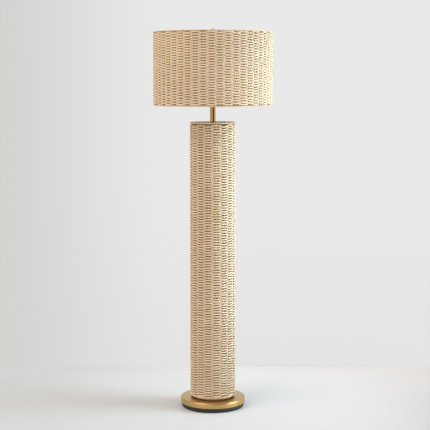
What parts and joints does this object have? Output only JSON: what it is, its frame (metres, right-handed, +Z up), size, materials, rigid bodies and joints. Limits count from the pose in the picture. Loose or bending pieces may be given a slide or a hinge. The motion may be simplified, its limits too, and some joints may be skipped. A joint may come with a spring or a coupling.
{
  "type": "floor lamp",
  "caption": "Floor lamp with a round brass base, a tall woven rattan column, a short brass neck and a woven drum shade on a harp.",
  "frame": {"origin": "on the floor, in the middle of the underside of the base, on the lamp's axis", "axes": "+Z up along the lamp's axis; -Y is the front, with the switch knob; the harp lies in the XZ plane; the cord outlet is on +Y"},
  "size_m": [0.457, 0.4567, 1.4631],
  "materials": {
    "rattan": "woven rattan, matt",
    "brass": "brushed and lacquered",
    "black_iron": "black paint",
    "felt": "felt",
    "black_plastic": "gloss",
    "brown_plastic": "moulded",
    "steel": "zinc plated",
    "board": "bare fibreboard",
    "paper": "fibre paper",
    "lining": "matt laminate",
    "frosted_glass": "frosted"
  },
  "bodies": {
    "lamp_body": {"floor_pad": "felt", "base_weight": "black_iron", "base_cover": "brass", "cord_grommet": "black_plastic", "base_washer": "steel", "base_nut": "steel", "column_tube": "board", "column_foot_board": "board", "column_cap": "board", "column_weave": "rattan", "neck_ring": "brass", "neck_tube": "brass", "neck_top_ring": "brass", "lamp_pipe": "steel", "harp_saddle": "brass", "harp": "brass", "harp_stud": "brass", "socket_cap": "brass", "socket_shell": "brass", "socket_insulator": "paper", "switch_body": "brown_plastic", "socket_screw_shell": "brass", "socket_contact": "brass"},
    "shade": {"shade_weave": "rattan", "shade_lining": "lining", "shade_top_ring": "brass", "shade_bottom_ring": "brass", "spider_washer": "brass", "spider_arm_1": "brass", "spider_arm_2": "brass", "spider_arm_3": "brass"},
    "finial_body": {"finial": "brass"},
    "switch": {"switch_stem": "steel", "switch_knob": "black_plastic"},
    "bulb": {"bulb_contact": "steel", "bulb_cap": "steel", "bulb_glass": "frosted_glass"},
    "left_sleeve": {"harp_sleeve_left": "brass"},
    "right_sleeve": {"harp_sleeve_right": "brass"}
  },
  "joints": [
    {"name": "shade_lift", "type": "slide", "parent": "lamp_body", "child": "shade", "axis": [0, 0, 1], "range_m": [0, 0.3]},
    {"name": "finial_turn", "type": "hinge", "parent": "shade", "child": "finial_body", "pos_m": [0, 0, 1.45], "axis": [0, 0, 1], "continuous": true},
    {"name": "switch_knob_turn", "type": "hinge", "parent": "lamp_body", "child": "switch", "pos_m": [0, -0.02, 1.2316], "axis": [0, -1, 0], "continuous": true},
    {"name": "bulb_turn", "type": "hinge", "parent": "lamp_body", "child": "bulb", "pos_m": [0, 0, 1.26], "axis": [0, 0, 1], "continuous": true},
    {"name": "harp_sleeve_left_slide", "type": "slide", "parent": "lamp_body", "child": "left_sleeve", "axis": [0, 0, 1], "range_m": [0, 0.012]},
    {"name": "harp_sleeve_right_slide", "type": "slide", "parent": "lamp_body", "child": "right_sleeve", "axis": [0, 0, 1], "range_m": [0, 0.012]}
  ]
}
